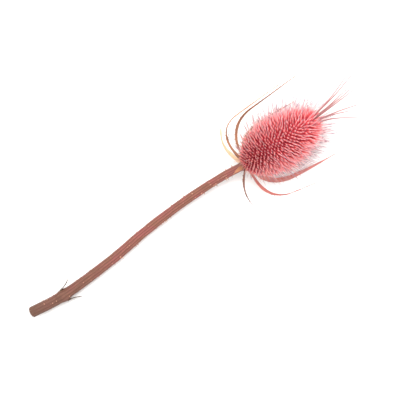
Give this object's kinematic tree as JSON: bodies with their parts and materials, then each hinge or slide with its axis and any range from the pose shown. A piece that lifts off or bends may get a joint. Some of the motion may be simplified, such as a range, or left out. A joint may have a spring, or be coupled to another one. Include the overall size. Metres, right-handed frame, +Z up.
{
  "type": "teasel seed head",
  "caption": "Dried oval seed head set with spiral rows of stiff spines, with long narrow bracts curving up from its base, on a ribbed prickly stalk that lies down.",
  "frame": {"origin": "middle of the footprint, on the surface that the plant lies on", "axes": "+X along the stalk, from its cut foot to the tip of the head; +Z up; +Y to the left of that"},
  "size_m": [0.3182, 0.0774, 0.0494],
  "materials": {
    "stalk_rind": "dry ribbed rind, tan, tinted pink in places",
    "head_bracts": "dry matt bracts dyed coral pink, crimson in the gaps",
    "involucre": "dry papery leaf, tan-pink, slightly satin",
    "topknot": "stiff dry spines, grey-pink",
    "withered_leaf": "withered brown leaf base"
  },
  "bodies": {
    "root": {"stem": "stalk_rind", "seed_head": "head_bracts", "involucral_bract_01": "involucre", "involucral_bract_02": "involucre", "involucral_bract_03": "involucre", "involucral_bract_04": "involucre", "involucral_bract_05": "involucre", "involucral_bract_06": "involucre", "involucral_bract_07": "involucre", "involucral_bract_08": "involucre", "involucral_bract_09": "involucre", "involucral_bract_10": "involucre", "topknot_spine_1": "topknot", "topknot_spine_2": "topknot", "topknot_spine_3": "topknot", "topknot_spine_4": "topknot", "topknot_spine_5": "topknot", "topknot_spine_6": "topknot", "topknot_spine_7": "topknot", "topknot_spine_8": "topknot", "leaf_stub_1": "withered_leaf", "leaf_stub_2": "withered_leaf"}
  },
  "joints": []
}
